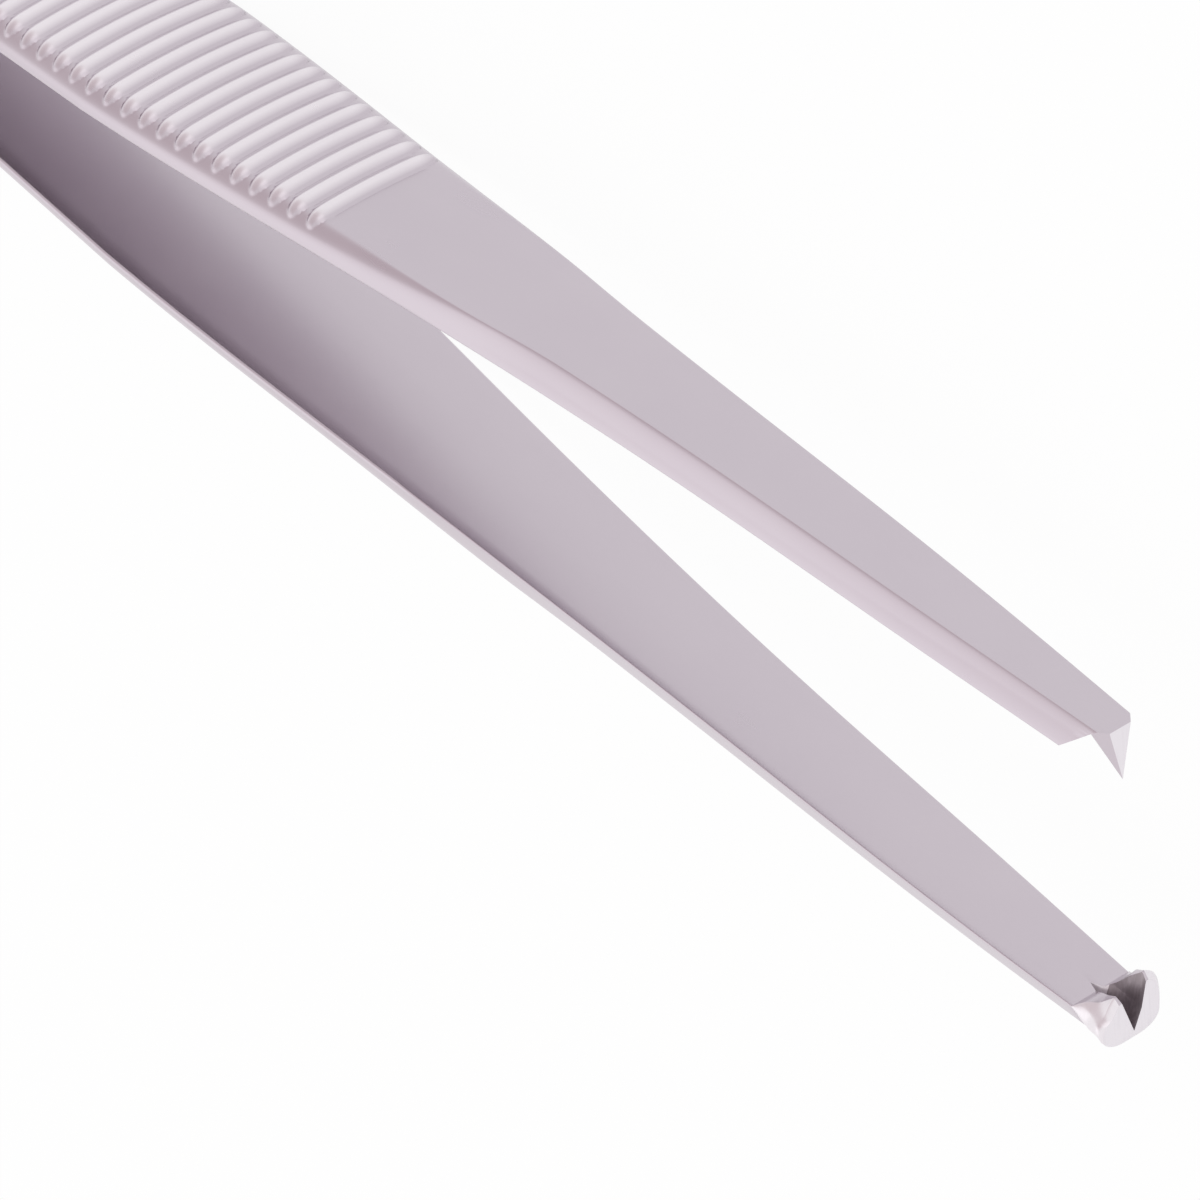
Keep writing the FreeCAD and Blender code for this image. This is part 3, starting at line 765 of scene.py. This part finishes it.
def nose_outline(form, tip, back):
    """Outline (height, across) of the hooked end, from the middle of the outer face to the ridge."""
    blade = form.blade
    done = eased(tip.jaw - back, 0.0, tip.jaw - tip.nose_round)
    inner, half, lean = form.inner(back), form.half_width(back), form.lean(back)
    ridge = form.inner(tip.jaw) - math.tan(tip.slope) * (tip.jaw - max(back, tip.point_back))
    if back < tip.point_back:
        ridge += tip.point_back - back
    outer = inner + blade.tip_thickness - tip.end_thin * eased(tip.jaw - back, 0.0, tip.jaw) ** 2
    ahead = min(1.0, max(0.0, 1 - back / tip.nose_round))
    widest = half + (tip.flare / 2 - half) * done - tip.nose_round * (1 - math.sqrt(1 - ahead ** 2)) / 2
    edge = half - lean * blade.tip_thickness
    late = eased(tip.jaw - back, 0.5 * tip.jaw, tip.jaw)
    base = (edge - 0.05 * MM) * (1 - late) + late * tip.base_width / 2
    flank = inner + (ridge + tip.flank - inner) * done
    top = ridge if back < tip.jaw else inner
    behind = min(1.0, max(0.0, back / tip.jaw)) ** 1.6
    crest = tip.spacing / 2 + (half - tip.spacing / 2) * behind
    corner = (outer + (flank - outer) * 0.07 * done, edge + (widest - edge) * late)
    points = [(outer, base * i / 5) for i in range(5)]
    points += soft_turn((outer, base), corner, (flank, widest), 14)
    bulge = (flank + (top - flank) * 0.58, widest)
    points += soft_turn((flank, widest), bulge, (top, crest), 12)[1:]
    return points


def ground_aside(form, tip, back, outline):
    """Outline with the tops of the teeth tilted, and its outer part drawn to one side."""
    tilt = tip.tilt * eased(tip.jaw - back, 0.0, 0.6 * tip.jaw)
    drift = tip.drift * eased(tip.jaw - back, 0.4 * tip.jaw, tip.jaw)
    low = form.inner(0.0) - 0.9 * MM
    return [(height + tilt * across * eased(low + 0.7 * MM - height, 0.0, 0.9 * MM),
             across + drift * eased(height, low, low + 1.1 * MM))
            for height, across in outline]


def twin_nose(form, tip):
    """Hooked end of the lower blade, before the notch parts it into two teeth."""
    backs = [tip.jaw + (-OVERRUN - tip.jaw) * i / NOSE_STEPS for i in range(NOSE_STEPS + 1)]
    loops = []
    for back in backs:
        half = nose_outline(form, tip, back)
        whole = half + [(height, -across) for height, across in reversed(half[1:])]
        loops.append(ground_aside(form, tip, back, whole))
    around = len(loops[0])
    vertices = [tuple(point(form, back, height, across))
                for back, loop in zip(backs, loops) for height, across in loop]
    faces = []
    for i in range(len(loops) - 1):
        here, there = i * around, (i + 1) * around
        faces += [(here + j, here + (j + 1) % around, there + (j + 1) % around, there + j)
                  for j in range(around)]
    faces += [tuple(range(around)), tuple(range(len(vertices) - around, len(vertices)))]
    mesh = bpy.data.meshes.new("nose")
    mesh.from_pydata(vertices, [], faces)
    # All faces of the nose but the strip between the tops of the teeth carry the ground mark, which the
    # steel paints with a highlight.
    for name in ("ground", "recess"):
        mesh.materials.append(mark(name))
    top = around // 2
    for face in mesh.polygons:
        face.material_index = int({index % around for index in face.vertices} == {top, top + 1})
    return oriented(mesh)


def notch_wedge(form, tip):
    """What parts the paired teeth: a V with one bellied wall that runs out into the flat inner face."""
    floor = form.inner(0.0) + form.blade.tip_thickness - tip.end_thin - tip.floor
    top = form.inner(0.0) - math.tan(tip.slope) * tip.jaw - tip.floor
    half_open = (floor - top) * math.tan(tip.notch / 2)
    tail_back = tip.jaw + tip.tail
    tail_end = tip.run + (tail_back - tip.run) * (floor - top) / (floor - form.inner(tail_back))
    belly = floor + BELLY_AT * (top - floor)
    profile = [(floor, tip.notch_shift), (belly, tip.notch_shift - BELLY_AT * half_open - tip.belly),
               (top, tip.notch_shift - half_open), (top, tip.notch_shift + half_open)]
    corners = [point(form, back, height, across)
               for back in (-tip.jaw, tip.run) for height, across in profile]
    corners.append(point(form, tail_end, top))
    mesh = faceted(corners, [(0, 1, 2, 3), (0, 1, 5, 4), (1, 2, 6, 5), (3, 0, 4, 7), (2, 3, 7, 8, 6),
                             (4, 5, 8), (5, 6, 8), (7, 4, 8)])
    # The notch walls carry the notch mark, which the steel paints with shade; the two tail faces carry
    # the ground mark, painted with a highlight.
    for name in ("notch", "ground"):
        mesh.materials.append(mark(name))
    for index in (5, 6):
        mesh.polygons[index].material_index = 1
    return mesh


def twin_teeth_tools(form, tip):
    """Booleans that replace the plain end by the hooked one and cut its notch."""
    heights = form.inner(0.0) - 2 * MM, form.inner(0.0) + 4 * MM
    beyond, half, overlap = -2 * MM, 3 * MM, 0.02 * MM
    # The cut across the end carries the ground mark, which the steel paints with a highlight; the notch
    # brings its own marks.
    return [("DIFFERENCE", block(form, (beyond, tip.jaw - overlap), heights, half), "recess"),
            ("UNION", twin_nose(form, tip), "ground"),
            ("DIFFERENCE", block(form, (beyond, 0.0), heights, half), "ground"),
            ("DIFFERENCE", notch_wedge(form, tip), "notch")]


# Pieces

SHARP_EDGE = math.radians(24)


def place_blade(mesh, name, node, material, lower):
    """Blade piece: mirrored if lower, raised onto the table and attached to the root; its node is hidden.
    """
    raised = bpy.context.scene.forceps_blade.grip_width / 2
    shape = bmesh.new()
    shape.from_mesh(mesh)
    if lower:
        bmesh.ops.scale(shape, vec=(1.0, -1.0, 1.0), verts=shape.verts)
    bmesh.ops.translate(shape, vec=(0.0, 0.0, raised), verts=shape.verts)
    bmesh.ops.recalc_face_normals(shape, faces=shape.faces)
    shape.to_mesh(mesh)
    shape.free()
    for label in ("back", "walk", "rib_end"):
        mesh.attributes.remove(mesh.attributes[label])
    mesh.materials.clear()
    mesh.materials.append(material)
    mesh.polygons.foreach_set("use_smooth", [True] * len(mesh.polygons))
    mesh.set_sharp_from_angle(angle=SHARP_EDGE)
    piece = new_object(name, mesh)
    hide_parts(node)
    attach(piece, "root")
    return piece


def steel(scene):
    """The one satin steel material, made once."""
    return bpy.data.materials.get("satin_steel") or satin_steel(scene.forceps_steel)


class FORCEPS_OT_single_tooth_blade(Operator):
    """Build the blade with one tooth"""

    bl_idname = "forceps.single_tooth_blade"
    bl_label = "Single-tooth blade"

    def execute(self, context):
        scene = context.scene
        form = BladeForm(scene.forceps_blade, scene.forceps_grip, 0.0)
        material = steel(scene)
        ribbed = raise_ribs(plain_blade(form, "upper"), scene.forceps_grip, material)
        toothed = carve(ribbed, single_tooth_tools(form, scene.forceps_tip), scene.forceps_tip.bevel)
        place_blade(toothed, "upper_blade", "single_tooth_blade", material, lower=False)
        return {"FINISHED"}


class FORCEPS_OT_double_tooth_blade(Operator):
    """Build the blade with two teeth"""

    bl_idname = "forceps.double_tooth_blade"
    bl_label = "Double-tooth blade"

    def execute(self, context):
        scene = context.scene
        form = BladeForm(scene.forceps_blade, scene.forceps_grip, scene.forceps_grip.trim)
        material = steel(scene)
        ribbed = raise_ribs(plain_blade(form, "lower"), scene.forceps_grip, material)
        toothed = carve(ribbed, twin_teeth_tools(form, scene.forceps_tip), scene.forceps_tip.bevel)
        place_blade(toothed, "lower_blade", "double_tooth_blade", material, lower=True)
        return {"FINISHED"}


# Camera, table and light

CAMERA_PLACE = Vector((234.98, 193.13, 131.69)) * MM
CAMERA_RIGHT = Vector((0.599, -0.0842, -0.7963))
CAMERA_UP = Vector((-0.4831, 0.7551, -0.4432))


def backdrop_rays(graph):
    """1 for rays that show the background: from the camera, in gloss and through glass."""
    rays = graph.node("ShaderNodeLightPath").socket.node
    seen = [Wire(graph, rays.outputs[name])
            for name in ("Is Camera Ray", "Is Glossy Ray", "Is Transmission Ray")]
    return graph.maximum(graph.maximum(seen[0], seen[1]), seen[2])


def white_table(studio):
    """White table top that keeps a faint shadow."""
    material, graph = new_material("white_table")
    cloth = graph.node("ShaderNodeBsdfDiffuse", {}, {"Color": (0.9, 0.9, 0.9, 1.0)})
    glow = graph.node("ShaderNodeEmission", {}, {"Color": (1.0, 1.0, 1.0, 1.0), "Strength": 1.0})
    mixed = graph.node("ShaderNodeMixShader", {},
                       {"Fac": backdrop_rays(graph) * studio.white, 1: cloth, 2: glow})
    graph.node("ShaderNodeOutputMaterial", {}, {"Surface": mixed})
    half = studio.table / 2
    mesh = bpy.data.meshes.new("table")
    mesh.from_pydata([(-half, -half, 0.0), (half, -half, 0.0), (half, half, 0.0), (-half, half, 0.0)],
                     [], [(0, 1, 2, 3)])
    mesh.materials.append(material)
    new_object("table", mesh)


def pale_room(scene, studio):
    """Pale soft light all round, dimmer toward one side."""
    world = bpy.data.worlds.new("pale_room")
    scene.world = world
    world.use_nodes = True
    graph = Graph(world.node_tree)
    way = graph.node("ShaderNodeTexCoord", out="Generated")
    near = graph.node("ShaderNodeVectorMath", {"operation": "DOT_PRODUCT"},
                      {0: way, 1: Vector(studio.dim_way).normalized()}, out="Value")
    dimmed = graph.node("ShaderNodeMapRange", {"interpolation_type": "SMOOTHSTEP"},
                        {"Value": near, "From Min": studio.dim_start, "From Max": studio.dim_full})
    tone = graph.node("ShaderNodeMix", {"data_type": "RGBA"}, {
        "Factor": dimmed, "A": (*studio.bright, 1.0), "B": (*studio.dim, 1.0)}, out="Result")
    soft = graph.node("ShaderNodeBackground", {}, {"Color": tone, "Strength": studio.sky})
    graph.node("ShaderNodeOutputWorld", {}, {"Surface": soft})


def soft_lamp(scene, name, place, size, power):
    """Broad square lamp that faces the middle of the table."""
    data = bpy.data.lights.new(name, "AREA")
    data.size = size
    data.energy = power
    lamp = bpy.data.objects.new(name, data)
    lamp.location = place
    lamp.rotation_euler = Vector(place).to_track_quat("Z", "Y").to_euler()
    scene.collection.objects.link(lamp)


def camera(scene, studio):
    """Camera at the photograph's place, angle and lens."""
    data = bpy.data.cameras.new("camera")
    data.lens = studio.focal
    data.sensor_width = 36.0
    data.clip_start = 0.01
    made = bpy.data.objects.new("camera", data)
    right = CAMERA_RIGHT.normalized()
    behind = right.cross(CAMERA_UP).normalized()
    up = behind.cross(right)
    turn = Matrix((right, up, behind)).transposed()
    made.matrix_world = Matrix.Translation(CAMERA_PLACE) @ turn.to_4x4()
    scene.collection.objects.link(made)
    scene.camera = made


class FORCEPS_OT_studio(Operator):
    """Set up the white table, the soft light and the camera"""

    bl_idname = "forceps.studio"
    bl_label = "Table, light and camera"

    def execute(self, context):
        scene = context.scene
        studio = scene.forceps_studio
        scene.view_settings.view_transform = "Standard"
        white_table(studio)
        pale_room(scene, studio)
        soft_lamp(scene, "rib_lamp", studio.lamp_place, studio.lamp_size, studio.lamp_power)
        soft_lamp(scene, "side_lamp", studio.side_place, studio.side_size, studio.side_power)
        camera(scene, studio)
        return {"FINISHED"}


class FORCEPS_PT_panel(Panel):
    """Lists the steps in the sidebar."""

    bl_idname = "FORCEPS_PT_panel"
    bl_label = "Thumb forceps"
    bl_space_type = "VIEW_3D"
    bl_region_type = "UI"
    bl_category = "Forceps"

    def draw(self, context):
        for operator in OPERATORS:
            self.layout.operator(operator.bl_idname)


OPERATORS = (FORCEPS_OT_studio, FORCEPS_OT_single_tooth_blade, FORCEPS_OT_double_tooth_blade)
GROUPS = {"forceps_blade": BladeSizes, "forceps_grip": GripSizes, "forceps_tip": TipSizes,
          "forceps_steel": SteelColours, "forceps_studio": StudioSizes}


def register():
    """Register the classes and tie the groups of sizes to the scene."""
    for kind in (*GROUPS.values(), *OPERATORS, FORCEPS_PT_panel):
        bpy.utils.register_class(kind)
    for name, kind in GROUPS.items():
        setattr(bpy.types.Scene, name, PointerProperty(type=kind))


def unregister():
    """Undo register."""
    for name in GROUPS:
        delattr(bpy.types.Scene, name)
    for kind in reversed((*GROUPS.values(), *OPERATORS, FORCEPS_PT_panel)):
        bpy.utils.unregister_class(kind)


def main():
    """Build everything."""
    register()
    bpy.ops.forceps.studio()
    bpy.ops.forceps.single_tooth_blade()
    bpy.ops.forceps.double_tooth_blade()


if __name__ == "__main__":
    main()
